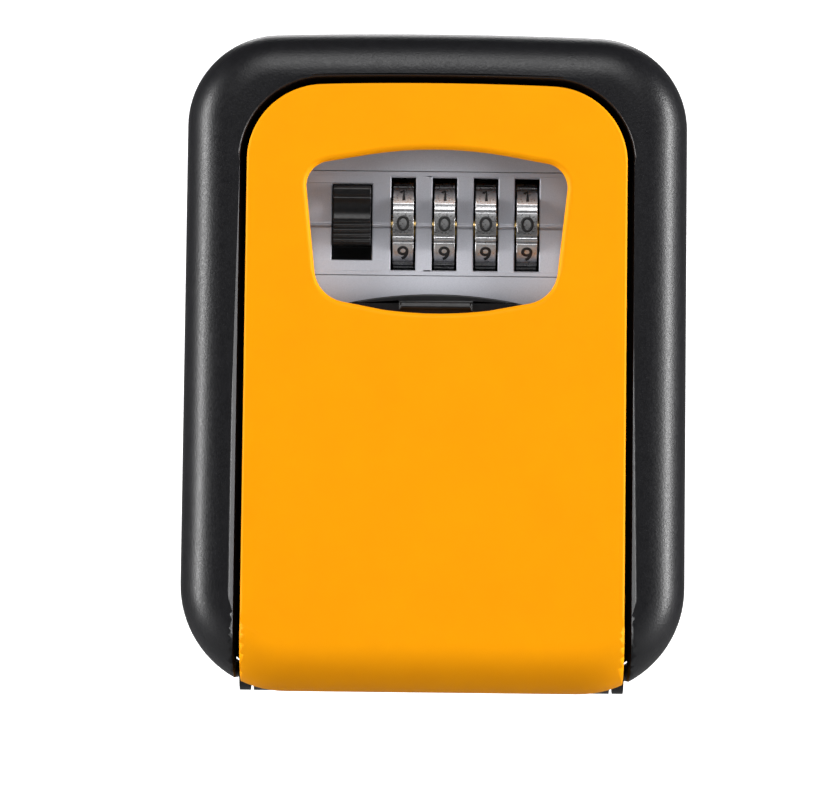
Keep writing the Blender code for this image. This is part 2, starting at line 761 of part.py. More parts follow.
# ---- latch, button and reset lever --------------------------------------------------------
def latch_plate():
    """A steel plate behind the dials: a bolt on top, four fingers forward, a foot for the button."""
    outline = [
        (-19.5 * MM, 22 * MM),
        (-12.9 * MM, 22 * MM),
        (-12.9 * MM, 31.5 * MM),
        (24 * MM, 31.5 * MM),
        (24 * MM, 36.3 * MM),
        (6 * MM, 36.3 * MM),
        (6 * MM, 48.6 * MM),
        (-6 * MM, 48.6 * MM),
        (-6 * MM, 36.3 * MM),
        (-19.5 * MM, 36.3 * MM),
    ]
    hole = circle(BUTTON_X, 27 * MM, SCREW_HOLE, 12)
    plate = flat_solid("latch_plate", [outline, hole], LATCH_FRONT, LATCH_REAR)
    low = DIAL_Z + 5.6 * MM
    for k, x in enumerate(DIAL_XS):
        finger = box(
            f"latch_finger_{k}", (x + 2.35 * MM, x + 3.55 * MM),
            (DIAL_Y - 1.5 * MM, LATCH_FRONT + 0.4 * MM), (low + 0.2 * MM, low + 1.8 * MM),
        )
        join(plate, finger)
    return finish_part(plate, "sheet_steel")


def button_profile():
    """The thumb button's side view: a top lip, a thumb hollow and five ribs below it."""
    front = [(-34.6, 33), (-35.9, 32.4), (-36.0, 30.9), (-35.3, 30.4), (-34.9, 28.6), (-34.9, 27)]
    for k in range(5):
        top = 26.3 - 1.0 * k
        front += [(-35.2 - 0.1 * k, top), (-35.6 - 0.1 * k, top - 0.35), (-35.2 - 0.1 * k, top - 0.7)]
    front += [(-31.4, 21.6), (-31.4, 33)]
    return [(y * MM, z * MM) for y, z in front]


def release_button():
    button = flat_solid(
        "release_button", [button_profile()], BUTTON_X - BUTTON_HALF, BUTTON_X + BUTTON_HALF, "X"
    )
    flange = box(
        "button_flange", (-20.6 * MM, -11.4 * MM), (FLANGE_FRONT, -30.9 * MM), (17.4 * MM, 35.4 * MM)
    )
    stem = box("button_stem", (-18.1 * MM, -14.5 * MM), (-31.5 * MM, -16.7 * MM), (24.4 * MM, 29.6 * MM))
    hole = cylinder("stem_hole", SCREW_HOLE, -22 * MM, -16 * MM, (BUTTON_X, 27 * MM), "Y", 12)
    join(button, flange, stem)
    cut(button, hole)
    return finish_part(button, "black_button")


def reset_lever():
    """The code-change lever: a fork round the dial shaft and a finger tab behind the cover."""
    gap = RUNNING_RADIUS
    profile = [
        (-29 * MM, DIAL_Z + gap),
        (-29 * MM, 28.2 * MM),
        (-13 * MM, 28.2 * MM),
        (-13 * MM, 23.3 * MM),
        (-29 * MM, 23.3 * MM),
        (-29 * MM, DIAL_Z - gap),
        (-24.4 * MM, DIAL_Z - gap),
        (-24.4 * MM, DIAL_Z + gap),
    ]
    lever = flat_solid("reset_lever", [profile], -11.8 * MM, -10.4 * MM, "X")
    tab = box("reset_tab", (-12.2 * MM, -9.6 * MM), (-13.9 * MM, -10.8 * MM), (23.5 * MM, 28 * MM))
    join(lever, tab)
    return finish_part(lever, "sheet_steel")


# ---- fasteners ----------------------------------------------------------------------------
def screw_shape(name, head_radius, under_radius, head_height, length):
    """A cross-head screw along +Z, the underside of its head at the origin."""
    screw = cylinder(name, head_radius, -head_height, 0, (0, 0), "Z", 16, under_radius)
    shank = cylinder(name + "_shank", SCREW_SHANK, -0.2 * MM, length, (0, 0), "Z", 12)
    join(screw, shank)
    for k, (x, y) in enumerate(((1.3, 0.28), (0.28, 1.3))):
        slot = box(
            f"{name}_slot_{k}", (-x * MM, x * MM), (-y * MM, y * MM),
            (-head_height - 1 * MM, 0.7 * MM - head_height),
        )
        cut(screw, slot)
    return baked(screw)


def put_screw(mesh, name, location, direction):
    screw = place(bpy.data.objects.new(name, mesh))
    screw.location = location
    screw.rotation_mode = "QUATERNION"
    screw.rotation_quaternion = Vector(direction).to_track_quat("Z", "Y")
    return finish_part(screw, "sheet_steel")


def screws():
    """{which pieces they hold: [screws]}."""
    pan = screw_shape("pan_screw", 2 * MM, 2.2 * MM, 1.2 * MM, 5.2 * MM)
    sunk = screw_shape("sunk_screw", 2.5 * MM, SCREW_SHANK, 1.3 * MM, 9 * MM)
    found = {"housing": [], "door": [], "latch": []}
    sides = [(side, x, z) for side in (-1, 1) for x, z in BEZEL_SCREWS]
    for k, (side, x, z) in enumerate(sides, 1):
        at = (side * x, -1.5 * MM, z)
        found["housing"].append(put_screw(sunk.data, f"bezel_screw_{k}", at, (0, -1, 0)))
    for k, side in enumerate((-1, 1), 1):
        at = (side * 5 * MM, -10 * MM, 48.8 * MM)
        found["housing"].append(put_screw(pan.data, f"strike_screw_{k}", at, (0, 0, 1)))
    sides = [(side, x, z) for side in (-1, 1) for x, z in LINER_SCREWS]
    for k, (side, x, z) in enumerate(sides, 1):
        at = (side * x, LINER_REAR + 0.1 * MM, z)
        found["door"].append(put_screw(pan.data, f"liner_screw_{k}", at, (0, -1, 0)))
    for k, (x, z) in enumerate(COVER_SCREWS, 1):
        found["door"].append(put_screw(pan.data, f"cover_screw_{k}", (x, -28.2 * MM, z), (0, -1, 0)))
    at = (BUTTON_X, LATCH_REAR + 0.1 * MM, 27 * MM)
    found["latch"].append(put_screw(pan.data, "button_screw", at, (0, -1, 0)))
    for pattern in (pan, sunk):
        as_cutter(pattern)
    return found


# ---- assembly -----------------------------------------------------------------------------
def pivot(name, location, parent=None):
    """An empty on a joint's axis, which carries the pieces that move with that joint."""
    empty = bpy.data.objects.new(name, None)
    PARTS.objects.link(empty)
    empty.location = location
    if parent is not None:
        attach(empty, parent)
    return empty


def attach(obj, parent):
    bpy.context.view_layer.update()
    world = obj.matrix_world.copy()
    obj.parent = parent
    obj.matrix_parent_inverse = parent.matrix_world.inverted()
    obj.matrix_world = world


def main():
    front_bezel()
    rear_tray()
    tray_gasket()
    strike_plate()
    hinge_pin()
    fasteners = screws()

    door = pivot("door_pivot", (0, HINGE_Y, HINGE_Z))
    shaft_start = Vector((21.3 * MM, DIAL_Y, DIAL_Z))
    shaft_end = Vector((26.7 * MM, DIAL_Y, DIAL_Z))
    spring_foot = Vector((BUTTON_X, -16.4 * MM, 13.6 * MM))
    spring_head = Vector((BUTTON_X, -16.4 * MM, 21.4 * MM))
    fixed_to_door = [
        door_cover(),
        door_liner(),
        dial_plate(),
        mechanism_cover(),
        lock_chassis(),
        dial_shaft(),
        detent_spring(),
        coil("shaft_spring", "spring_steel", 2.5 * MM, 0.28 * MM, 4, shaft_start, shaft_end),
        coil("latch_spring", "spring_steel", 1.5 * MM, 0.25 * MM, 5, spring_foot, spring_head),
        *fasteners["door"],
    ]
    for piece in fixed_to_door:
        attach(piece, door)

    latch = pivot("latch_pivot", (BUTTON_X, LATCH_REAR, 27 * MM), door)
    for piece in (latch_plate(), release_button(), *fasteners["latch"]):
        attach(piece, latch)
    attach(dial_shutter(), pivot("shutter_pivot", (0, SHUTTER_REAR, SHUTTER_BOTTOM), door))
    attach(reset_lever(), pivot("reset_pivot", (-11.1 * MM, DIAL_Y, DIAL_Z), door))

    for i, (wheel, sleeve) in enumerate(zip(dial_wheels(), code_sleeves()), 1):
        dial = pivot(f"dial_pivot_{i}", wheel.location.copy(), door)
        attach(wheel, dial)
        attach(sleeve, dial)


main()
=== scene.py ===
"""Looks of the key lock box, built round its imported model. Units are metres, as in the frame."""

import json
import math

import bmesh
import bpy
from mathutils import Matrix, Vector

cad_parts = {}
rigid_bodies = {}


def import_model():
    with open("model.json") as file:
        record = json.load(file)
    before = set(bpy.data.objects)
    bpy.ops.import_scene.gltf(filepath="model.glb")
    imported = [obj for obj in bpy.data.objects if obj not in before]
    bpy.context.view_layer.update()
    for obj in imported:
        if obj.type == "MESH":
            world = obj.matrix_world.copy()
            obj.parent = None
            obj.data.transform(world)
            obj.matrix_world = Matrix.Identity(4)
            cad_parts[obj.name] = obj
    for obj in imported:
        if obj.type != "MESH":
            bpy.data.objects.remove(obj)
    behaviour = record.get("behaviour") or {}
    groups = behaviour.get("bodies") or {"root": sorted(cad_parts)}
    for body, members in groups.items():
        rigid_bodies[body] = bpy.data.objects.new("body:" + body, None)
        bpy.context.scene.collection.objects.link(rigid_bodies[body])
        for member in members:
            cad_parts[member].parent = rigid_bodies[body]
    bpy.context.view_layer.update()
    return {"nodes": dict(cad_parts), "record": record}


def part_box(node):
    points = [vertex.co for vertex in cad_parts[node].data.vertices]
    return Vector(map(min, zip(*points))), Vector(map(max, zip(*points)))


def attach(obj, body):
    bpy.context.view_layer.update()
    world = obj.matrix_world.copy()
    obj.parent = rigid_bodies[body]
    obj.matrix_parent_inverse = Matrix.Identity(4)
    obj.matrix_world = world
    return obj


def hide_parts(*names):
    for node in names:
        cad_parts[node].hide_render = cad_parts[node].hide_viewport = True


for startup_object in list(bpy.data.objects):
    bpy.data.objects.remove(startup_object)

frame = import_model()
MM = 0.001

CASE_LOW, CASE_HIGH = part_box("front_bezel")
COVER_LOW, COVER_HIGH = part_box("door_cover")
PLATE_LOW, PLATE_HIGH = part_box("dial_plate")
SHUTTER_LOW, SHUTTER_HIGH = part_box("dial_shutter")
BUTTON_LOW, BUTTON_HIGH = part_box("release_button")

FRONT = CASE_LOW.y
BELOW_CASE = CASE_LOW.z - 10 * MM
CASE_EDGE = 9 * MM
CASE_WALL = 2.2 * MM
DOOR_WALL = 2.1 * MM
SEAM = 1.3 * MM
DIAL_COUNT = 4
DIGITS = 10
WHEEL_BOXES = [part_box(f"dial_wheel_{i + 1}") for i in range(DIAL_COUNT)]
DIAL_CENTRES = [(low + high) / 2 for low, high in WHEEL_BOXES]
DIAL_RADIUS = (WHEEL_BOXES[0][1].z - WHEEL_BOXES[0][0].z) / 2 + 0.05 * MM
DIAL_HALF = (WHEEL_BOXES[0][1].x - WHEEL_BOXES[0][0].x) / 2
DIAL_Z = DIAL_CENTRES[0].z
WINDOW_TOP = 39.4 * MM
WINDOW_BOTTOM = 8.4 * MM
ARC_RADIUS = 78 * MM
FLOOR_Z = CASE_LOW.z - 120 * MM
IMAGE_WIDTH = 822


# ---- shape tools --------------------------------------------------------------------------
def rounded(corners, degrees=4):
    """A closed outline from (u, v, radius) corners, each radius turned into an arc."""
    outline = []
    for i, (u, v, radius) in enumerate(corners):
        here = Vector((u, v))
        if radius <= 0:
            outline.append(here)
            continue
        before = (Vector(corners[i - 1][:2]) - here).normalized()
        after = (Vector(corners[(i + 1) % len(corners)][:2]) - here).normalized()
        half = before.angle(after) / 2
        centre = here + (before + after).normalized() * radius / math.sin(half)
        reach = radius / math.tan(half)
        first = here + before * reach - centre
        last = here + after * reach - centre
        start = math.atan2(first.y, first.x)
        sweep = (math.atan2(last.y, last.x) - start + math.pi) % math.tau - math.pi
        steps = max(1, round(abs(math.degrees(sweep)) / degrees))
        for k in range(steps + 1):
            angle = start + sweep * k / steps
            outline.append(centre + radius * Vector((math.cos(angle), math.sin(angle))))
    return outline


AXIS_FRAMES = {
    "X": Matrix(((0, 0, 1, 0), (1, 0, 0, 0), (0, 1, 0, 0), (0, 0, 0, 1))),
    "Y": Matrix(((1, 0, 0, 0), (0, 0, -1, 0), (0, 1, 0, 0), (0, 0, 0, 1))),
}
AXES = {"X": Vector((1, 0, 0)), "Y": Vector((0, 1, 0))}


def new_object(name, mesh):
    obj = bpy.data.objects.new(name, mesh)
    bpy.context.scene.collection.objects.link(obj)
    return obj


def mesh_of(obj):
    """The mesh that an object's curve or modifiers make."""
    graph = bpy.context.evaluated_depsgraph_get()
    return bpy.data.meshes.new_from_object(obj.evaluated_get(graph))


def weld(mesh):
    shape = bmesh.new()
    shape.from_mesh(mesh)
    bmesh.ops.remove_doubles(shape, verts=shape.verts, dist=0.0001 * MM)
    bmesh.ops.recalc_face_normals(shape, faces=shape.faces)
    shape.to_mesh(mesh)
    shape.free()


def flat_solid(name, outlines, low, high, along="Y"):
    """A plate from low to high along an axis: the first outline is its edge, the others holes."""
    curve = bpy.data.curves.new(name, "CURVE")
    curve.dimensions = "2D"
    curve.fill_mode = "BOTH"
    curve.extrude = (high - low) / 2
    for outline in outlines:
        spline = curve.splines.new("POLY")
        spline.points.add(len(outline) - 1)
        for point, (u, v) in zip(spline.points, outline):
            point.co = (u, v, 0, 1)
        spline.use_cyclic_u = True
    source = new_object(name, curve)
    mesh = mesh_of(source)
    bpy.data.objects.remove(source)
    mesh.transform(Matrix.Translation(AXES[along] * (low + high) / 2) @ AXIS_FRAMES[along])
    weld(mesh)
    return new_object(name, mesh)


def from_bmesh(name, shape):
    mesh = bpy.data.meshes.new(name)
    shape.to_mesh(mesh)
    shape.free()
    return new_object(name, mesh)


def box(name, x, y, z):
    spans = [Vector(pair) for pair in (x, y, z)]
    centre = Matrix.Translation([(s.x + s.y) / 2 for s in spans])
    sides = Matrix.Diagonal([*(s.y - s.x for s in spans), 1])
    shape = bmesh.new()
    bmesh.ops.create_cube(shape, size=1, matrix=centre @ sides)
    return from_bmesh(name, shape)


def boolean(target, operation, *tools):
    """Applies a Boolean at once and removes the tools."""
    for tool in tools:
        modifier = target.modifiers.new(operation.lower(), "BOOLEAN")
        modifier.operation = operation
        modifier.object = tool
    mesh = mesh_of(target)
    target.modifiers.clear()
    target.data = mesh
    for tool in tools:
        bpy.data.objects.remove(tool)
    return target


def cut(target, *tools):
    return boolean(target, "DIFFERENCE", *tools)


def join(target, *tools):
    return boolean(target, "UNION", *tools)


def round_edges(obj, width, radius_of, segments=4, angle=40):
    """Rounds the sharp edges. radius_of gives an edge's share of width from its middle point."""
    mesh = obj.data
    shape = bmesh.new()
    shape.from_mesh(mesh)
    bmesh.ops.remove_doubles(shape, verts=shape.verts, dist=0.06 * MM)
    # A Bevel leaves a concave face of many sides badly filled.
    many_sided = [face for face in shape.faces if len(face.verts) > 4]
    bmesh.ops.triangulate(shape, faces=many_sided)
    shape.to_mesh(mesh)
    shape.free()
    weight = mesh.attributes.new("bevel_weight_edge", "FLOAT", "EDGE")
    shape = bmesh.new()
    shape.from_mesh(mesh)
    shape.edges.ensure_lookup_table()
    for edge in shape.edges:
        if len(edge.link_faces) == 2 and edge.calc_face_angle(0) > math.radians(angle):
            middle = (edge.verts[0].co + edge.verts[1].co) / 2
            weight.data[edge.index].value = radius_of(middle)
    shape.free()
    modifier = obj.modifiers.new("rounding", "BEVEL")
    modifier.limit_method = "WEIGHT"
    modifier.width = width
    modifier.segments = segments
    modifier.use_clamp_overlap = False
    return obj


def finish_piece(obj, body, material, slot, *nodes, smooth_angle=35):
    """Puts a finished piece on its body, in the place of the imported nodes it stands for."""
    obj.data.materials.clear()
    obj.data.materials.append(material)
    obj.data.shade_smooth()
    obj.data.set_sharp_from_angle(angle=math.radians(smooth_angle))
    flat_faces = obj.modifiers.new("flat_faces", "WEIGHTED_NORMAL")
    flat_faces.weight = 100
    flat_faces.thresh = 0.005
    flat_faces.keep_sharp = False
    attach(obj, body)
    if nodes:
        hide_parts(*nodes)
    return obj


# ---- materials ----------------------------------------------------------------------------
class Surface:
    """A procedural material: a shader with noise, cells and bumps in the piece's coordinates."""

    def __init__(self, name, **shader_values):
        self.material = bpy.data.materials.new(name)
        self.material.use_nodes = True
        self.tree = self.material.node_tree
        self.shader = self.tree.nodes["Principled BSDF"]
        for socket, value in shader_values.items():
            self.shader.inputs[socket.replace("_", " ")].default_value = value
        coordinates = self.tree.nodes.new("ShaderNodeTexCoord")
        self.coordinates = coordinates.outputs["Object"]
        self.normal = None

    def link(self, source, target):
        self.tree.links.new(source, target)

    def stretched(self, scale):
        mapping = self.tree.nodes.new("ShaderNodeMapping")
        mapping.inputs["Scale"].default_value = scale
        self.link(self.coordinates, mapping.inputs["Vector"])
        return mapping.outputs["Vector"]

    def noise(self, size, detail=3.0, stretch=None):
        """Noise whose blobs are about size metres across."""
        node = self.tree.nodes.new("ShaderNodeTexNoise")
        node.inputs["Scale"].default_value = 1 / size
        node.inputs["Detail"].default_value = detail
        node.inputs["Roughness"].default_value = 0.55
        place = self.stretched(stretch) if stretch else self.coordinates
        self.link(place, node.inputs["Vector"])
        return node.outputs["Fac"]

    def cells(self, size):
        node = self.tree.nodes.new("ShaderNodeTexVoronoi")
        node.feature = "SMOOTH_F1"
        node.inputs["Scale"].default_value = 1 / size
        node.inputs["Smoothness"].default_value = 0.6
        self.link(self.coordinates, node.inputs["Vector"])
        return node.outputs["Distance"]

    def remap(self, value, low, high, start=0.3, end=0.7):
        node = self.tree.nodes.new("ShaderNodeMapRange")
        node.inputs["From Min"].default_value = start
        node.inputs["From Max"].default_value = end
        node.inputs["To Min"].default_value = low
        node.inputs["To Max"].default_value = high
        self.link(value, node.inputs["Value"])
        return node.outputs["Result"]

    def colour(self, value, first, second, start=0.3, end=0.7):
        """Mixes two base colours by a texture."""
        node = self.tree.nodes.new("ShaderNodeValToRGB")
        node.color_ramp.elements[0].position = start
        node.color_ramp.elements[0].color = (*first, 1)
        node.color_ramp.elements[1].position = end
        node.color_ramp.elements[1].color = (*second, 1)
        self.link(value, node.inputs["Fac"])
        self.link(node.outputs["Color"], self.shader.inputs["Base Color"])
        return self

    def roughness(self, value, low, high):
        self.link(self.remap(value, low, high), self.shader.inputs["Roughness"])
        return self

    def bump(self, height, depth, strength=1.0):
        node = self.tree.nodes.new("ShaderNodeBump")
        node.inputs["Distance"].default_value = depth
        node.inputs["Strength"].default_value = strength
        self.link(height, node.inputs["Height"])
        if self.normal is not None:
            self.link(self.normal, node.inputs["Normal"])
        self.normal = node.outputs["Normal"]
        self.link(self.normal, self.shader.inputs["Normal"])
        return self


def grained_black():
    s = Surface("grained_black", Specular_IOR_Level=0.34)
    s.colour(s.noise(2.2 * MM), (0.006, 0.006, 0.0072), (0.009, 0.009, 0.0105))
    s.roughness(s.noise(0.5 * MM), 0.31, 0.42)
    s.bump(s.cells(0.42 * MM), 0.03 * MM, 0.55)
    return s.bump(s.noise(0.2 * MM), 0.02 * MM, 0.5).material


def door_paint():
    s = Surface("door_paint", Specular_IOR_Level=0.08)
    s.colour(s.noise(9 * MM, 5), (0.9, 0.325, 0.0), (0.92, 0.34, 0.0))
    s.roughness(s.noise(1.1 * MM), 0.46, 0.56)
    s.bump(s.noise(0.9 * MM), 0.02 * MM, 0.35)
    return s.bump(s.noise(0.25 * MM), 0.006 * MM, 0.5).material


def plate_paint():
    s = Surface("plate_paint", Metallic=0.25, Specular_IOR_Level=0.3)
    s.colour(s.noise(0.12 * MM, 2), (0.35, 0.356, 0.394), (0.45, 0.456, 0.5))
    s.roughness(s.noise(0.3 * MM), 0.42, 0.54)
    s.bump(s.cells(0.16 * MM), 0.008 * MM, 0.4)
    return s.bump(s.noise(0.6 * MM), 0.01 * MM, 0.3).material


def satin_black():
    s = Surface("satin_black", Specular_IOR_Level=0.3)
    s.colour(s.noise(1.5 * MM), (0.005, 0.005, 0.0055), (0.009, 0.009, 0.01))
    s.roughness(s.noise(0.5 * MM), 0.3, 0.42)
    return s.bump(s.noise(0.25 * MM), 0.008 * MM, 0.4).material


def moulded_black():
    s = Surface("moulded_black", Specular_IOR_Level=0.45)
    s.colour(s.noise(3 * MM), (0.02, 0.02, 0.022), (0.032, 0.032, 0.035))
    s.roughness(s.noise(0.8 * MM), 0.42, 0.58)
    return s.bump(s.noise(0.3 * MM), 0.015 * MM, 0.5).material


def polished_chrome():
    s = Surface("polished_chrome", Metallic=1.0)
    s.colour(s.noise(0.9 * MM), (0.5, 0.5, 0.51), (0.62, 0.62, 0.63))
    s.roughness(s.noise(0.35 * MM, 4), 0.24, 0.38)
    return s.bump(s.noise(0.5 * MM), 0.006 * MM, 0.4).material


def enamel():
    s = Surface("black_enamel", Specular_IOR_Level=0.5)
    s.colour(s.noise(0.3 * MM), (0.004, 0.004, 0.004), (0.012, 0.012, 0.013))
    s.roughness(s.noise(0.2 * MM), 0.3, 0.5)
    return s.bump(s.noise(0.1 * MM), 0.004 * MM, 0.5).material


def cast_zinc():
    s = Surface("cast_zinc", Metallic=1.0)
    s.colour(s.noise(1.5 * MM, 5), (0.36, 0.37, 0.39), (0.52, 0.53, 0.55))
    s.roughness(s.noise(0.6 * MM), 0.38, 0.58)
    return s.bump(s.noise(0.35 * MM), 0.03 * MM, 0.5).material


def rolled_steel():
    s = Surface("rolled_steel", Metallic=1.0)
    grain = s.noise(0.25 * MM, 3, (1, 1, 0.06))
    s.colour(grain, (0.42, 0.42, 0.43), (0.6, 0.6, 0.6))
    s.roughness(s.noise(0.7 * MM), 0.24, 0.4)
    return s.bump(grain, 0.006 * MM, 0.4).material


def spring_wire():
    s = Surface("spring_wire", Metallic=1.0)
    s.colour(s.noise(0.4 * MM), (0.46, 0.46, 0.48), (0.66, 0.66, 0.67))
    s.roughness(s.noise(0.3 * MM), 0.16, 0.32)
    return s.bump(s.noise(0.15 * MM), 0.004 * MM, 0.4).material


def turned_brass():
    s = Surface("turned_brass", Metallic=1.0)
    rings = s.noise(0.2 * MM, 2, (1, 0.05, 0.05))
    s.colour(rings, (0.6, 0.4, 0.13), (0.78, 0.56, 0.24))
    s.roughness(s.noise(0.5 * MM), 0.22, 0.38)
    return s.bump(rings, 0.008 * MM, 0.4).material


def seal_rubber():
    s = Surface("seal_rubber", Specular_IOR_Level=0.3)
    s.colour(s.noise(2 * MM), (0.012, 0.012, 0.012), (0.022, 0.022, 0.022))
    s.roughness(s.noise(0.5 * MM), 0.7, 0.88)
    return s.bump(s.noise(0.3 * MM), 0.02 * MM, 0.5).material


SURFACES = {
    "black_case": grained_black(),
    "orange_door": door_paint(),
    "grey_plate": plate_paint(),
    "black_button": satin_black(),
    "black_liner": moulded_black(),
    "chrome": polished_chrome(),
    "cast_zinc": cast_zinc(),
    "sheet_steel": rolled_steel(),
    "spring_steel": spring_wire(),
    "brass": turned_brass(),
    "seal_rubber": seal_rubber(),
}


# ---- outlines -----------------------------------------------------------------------------
def crowned_box(half, top, bottom, corner_top, corner_bottom, crown):
    """A rounded upright rectangle whose top edge bulges by crown."""
    middle = []
    for k in range(-9, 10):
        share = -k / 16
        middle.append((half * share, top - crown * share**2, 0))
    return rounded(
        [
            (half, bottom, corner_bottom),
            (half, top - crown, corner_top),
            *middle,
            (-half, top - crown, corner_top),
            (-half, bottom, corner_bottom),
        ]
    )


def case_outline(inset):
    return crowned_box(
        CASE_HIGH.x - inset,
        CASE_HIGH.z - inset,
        CASE_LOW.z + inset,
        17.5 * MM - inset,
        20 * MM - inset,
        1.1 * MM,
    )


def door_outline(offset):
    """The door's edge moved out by offset. It runs on below the case."""
    return crowned_box(
        COVER_HIGH.x + offset, COVER_HIGH.z + offset, BELOW_CASE, 14.5 * MM + offset, 0, 1 * MM
    )


def arc_height(peak, x, sign=1):
    return peak - sign * (ARC_RADIUS - math.sqrt(ARC_RADIUS**2 - x**2))


def window_outline():
    across = [k * 1.625 * MM for k in range(-8, 9)]
    upper = [(x, arc_height(WINDOW_TOP, x), 0) for x in reversed(across)]
    lower = [(x * 0.77, arc_height(WINDOW_BOTTOM, x * 0.77, -1), 0) for x in across]
    right = [(22.3 * MM, 11.4 * MM, 6.5 * MM), (25 * MM, 36.2 * MM, 4.6 * MM)]
    left = [(-x, z, radius) for x, z, radius in reversed(right)]
    return rounded([*right, *upper, *left, *lower])


# ---- case and door ------------------------------------------------------------------------
def case_solid(name, inset, front, back, edge):
    shape = bmesh.new()
    rim = [shape.verts.new((x, back, z)) for x, z in case_outline(inset)]
    face = shape.faces.new(rim)
    grown = bmesh.ops.extrude_face_region(shape, geom=[face])
    moved = [item for item in grown["geom"] if isinstance(item, bmesh.types.BMVert)]
    bmesh.ops.translate(shape, verts=moved, vec=(0, front - back, 0))
    bmesh.ops.recalc_face_normals(shape, faces=shape.faces)
    front_edges = [e for e in shape.edges if all(abs(v.co.y - front) < 1e-7 for v in e.verts)]
    bmesh.ops.bevel(
        shape,
        geom=front_edges,
        offset=edge,
        segments=16,
        profile=0.5,
        affect="EDGES",
        clamp_overlap=False,
    )
    return from_bmesh(name, shape)


def bezel_shell():
    bezel = case_solid("bezel_shell", 0, FRONT, CASE_HIGH.y, CASE_EDGE)
    hollow = case_solid(
        "hollow", CASE_WALL, FRONT + CASE_WALL, CASE_HIGH.y + 2 * MM, CASE_EDGE - CASE_WALL
    )
    cut(hollow, flat_solid("collar", [door_outline(SEAM + 1.8 * MM)], FRONT - 2 * MM, -24 * MM))
    opening = flat_solid("opening", [door_outline(SEAM)], FRONT - 2 * MM, -14.6 * MM)
    cut(bezel, hollow, opening)

    def radius_of(at):
        # Rounding the long inner edges throws spikes where they meet the curved front.
        if at.z < 20 * MM and abs(at.x) < 41 * MM:
            return 0.0
        return 1.0 if at.y < FRONT + 6 * MM else 0.5

    round_edges(bezel, 0.55 * MM, radius_of, 3)
    finish_piece(bezel, "housing", SURFACES["black_case"], "black_case", "front_bezel")


def door_skin():
    door = flat_solid("door_skin", [door_outline(0)], FRONT - 2 * MM, COVER_HIGH.y)
    boolean(door, "INTERSECT", case_solid("form", 0, FRONT, CASE_HIGH.y, CASE_EDGE))
    hollow = flat_solid("hollow", [door_outline(-2 * MM)], FRONT - 2 * MM, 0)
    inner = case_solid(
        "inner_form", DOOR_WALL, FRONT + DOOR_WALL, 2 * MM, CASE_EDGE - DOOR_WALL
    )
    boolean(hollow, "INTERSECT", inner)
    cut(door, hollow, flat_solid("window", [window_outline()], FRONT - 2 * MM, -30 * MM))

    def radius_of(at):
        # Round the curved bottom the edge stays crisp, for the same reason as the case's.
        if at.z < -44 * MM:
            return 0.0
        by_window = at.y < FRONT + 0.5 * MM and abs(at.x) < 27 * MM and 5 * MM < at.z < 42 * MM
        return 1.0 if by_window else 0.5

    round_edges(door, 1.1 * MM, radius_of, 5)
    finish_piece(door, "door", SURFACES["orange_door"], "orange_door", "door_cover")


# ---- lock face ----------------------------------------------------------------------------
def plate_front(z):
    reach = abs(z - DIAL_Z) / (15.2 * MM)
    flat = -36.1 * MM
    return flat if reach >= 1 else flat + 2.3 * MM * math.cos(reach * math.pi / 2) ** 2


def lock_plate():
    low, high = PLATE_LOW.z, PLATE_HIGH.z
    dish = [DIAL_Z + 15.2 * MM * k / 32 for k in range(-32, 33)]
    front = [(plate_front(z), z) for z in [low, *dish, high]]
    back = [(y + 1.6 * MM, z) for y, z in reversed(front)]
    plate = flat_solid("lock_plate", [front + back], PLATE_LOW.x, PLATE_HIGH.x, "X")
    index_z = 25.5 * MM
    index_y = plate_front(index_z) - 0.35 * MM
    profile = [
        (index_y + 1 * MM, index_z - 0.3 * MM),
        (index_y + 0.2 * MM, index_z - 0.3 * MM),
        (index_y, index_z - 0.1 * MM),
        (index_y, index_z + 0.1 * MM),
        (index_y + 0.2 * MM, index_z + 0.3 * MM),
        (index_y + 1 * MM, index_z + 0.3 * MM),
    ]
    join(plate, flat_solid("index", [profile], PLATE_LOW.x + 2 * MM, PLATE_HIGH.x - 2 * MM, "X"))
    rails = []
    for side in (-1, 1):
        x = sorted((side * 26.9 * MM, side * 28.1 * MM))
        rails.append(box("rail", x, (PLATE_LOW.y, -35.5 * MM), (low + 0.4 * MM, high - 0.4 * MM)))
    join(plate, *rails)
    slots = []
    through = (-40 * MM, -28 * MM)
    for centre in DIAL_CENTRES:
        across = (centre.x - 2.35 * MM, centre.x + 2.35 * MM)
        slots.append(box("slot", across, through, (DIAL_Z - 8.85 * MM, DIAL_Z + 8.85 * MM)))
    slots.append(box("slot", (-19.8 * MM, -12.2 * MM), through, (18.8 * MM, 33.2 * MM)))
    cut(plate, *slots)
    round_edges(plate, 0.22 * MM, lambda at: 1.0, 3, 50)
    finish_piece(plate, "door", SURFACES["grey_plate"], "grey_plate", "dial_plate")


def shutter_leaf():
    half = SHUTTER_HIGH.x
    top = SHUTTER_HIGH.z
    edge = [(half * (1 - k / 24), arc_height(top, half * (1 - k / 24))) for k in range(49)]
    outline = [(-half, SHUTTER_LOW.z), (half, SHUTTER_LOW.z), *edge]
    leaf = flat_solid("shutter_leaf", [outline], -37.6 * MM, SHUTTER_HIGH.y)
    front = SHUTTER_LOW.y
    profile = [
        (-37.1 * MM, 9.0 * MM),
        (-37.6 * MM, 9.1 * MM),
        (front, 9.5 * MM),
        (front, 9.9 * MM),
        (-37.75 * MM, 10.6 * MM),
        (-37.1 * MM, 10.9 * MM),
    ]
    join(leaf, flat_solid("grip", [profile], -6.7 * MM, 6.7 * MM, "X"))
    round_edges(leaf, 0.3 * MM, lambda at: 1.0 if at.z > 9 * MM and at.y < -37 * MM else 0.5, 3, 50)
    finish_piece(leaf, "shutter", SURFACES["black_button"], "black_button", "dial_shutter")


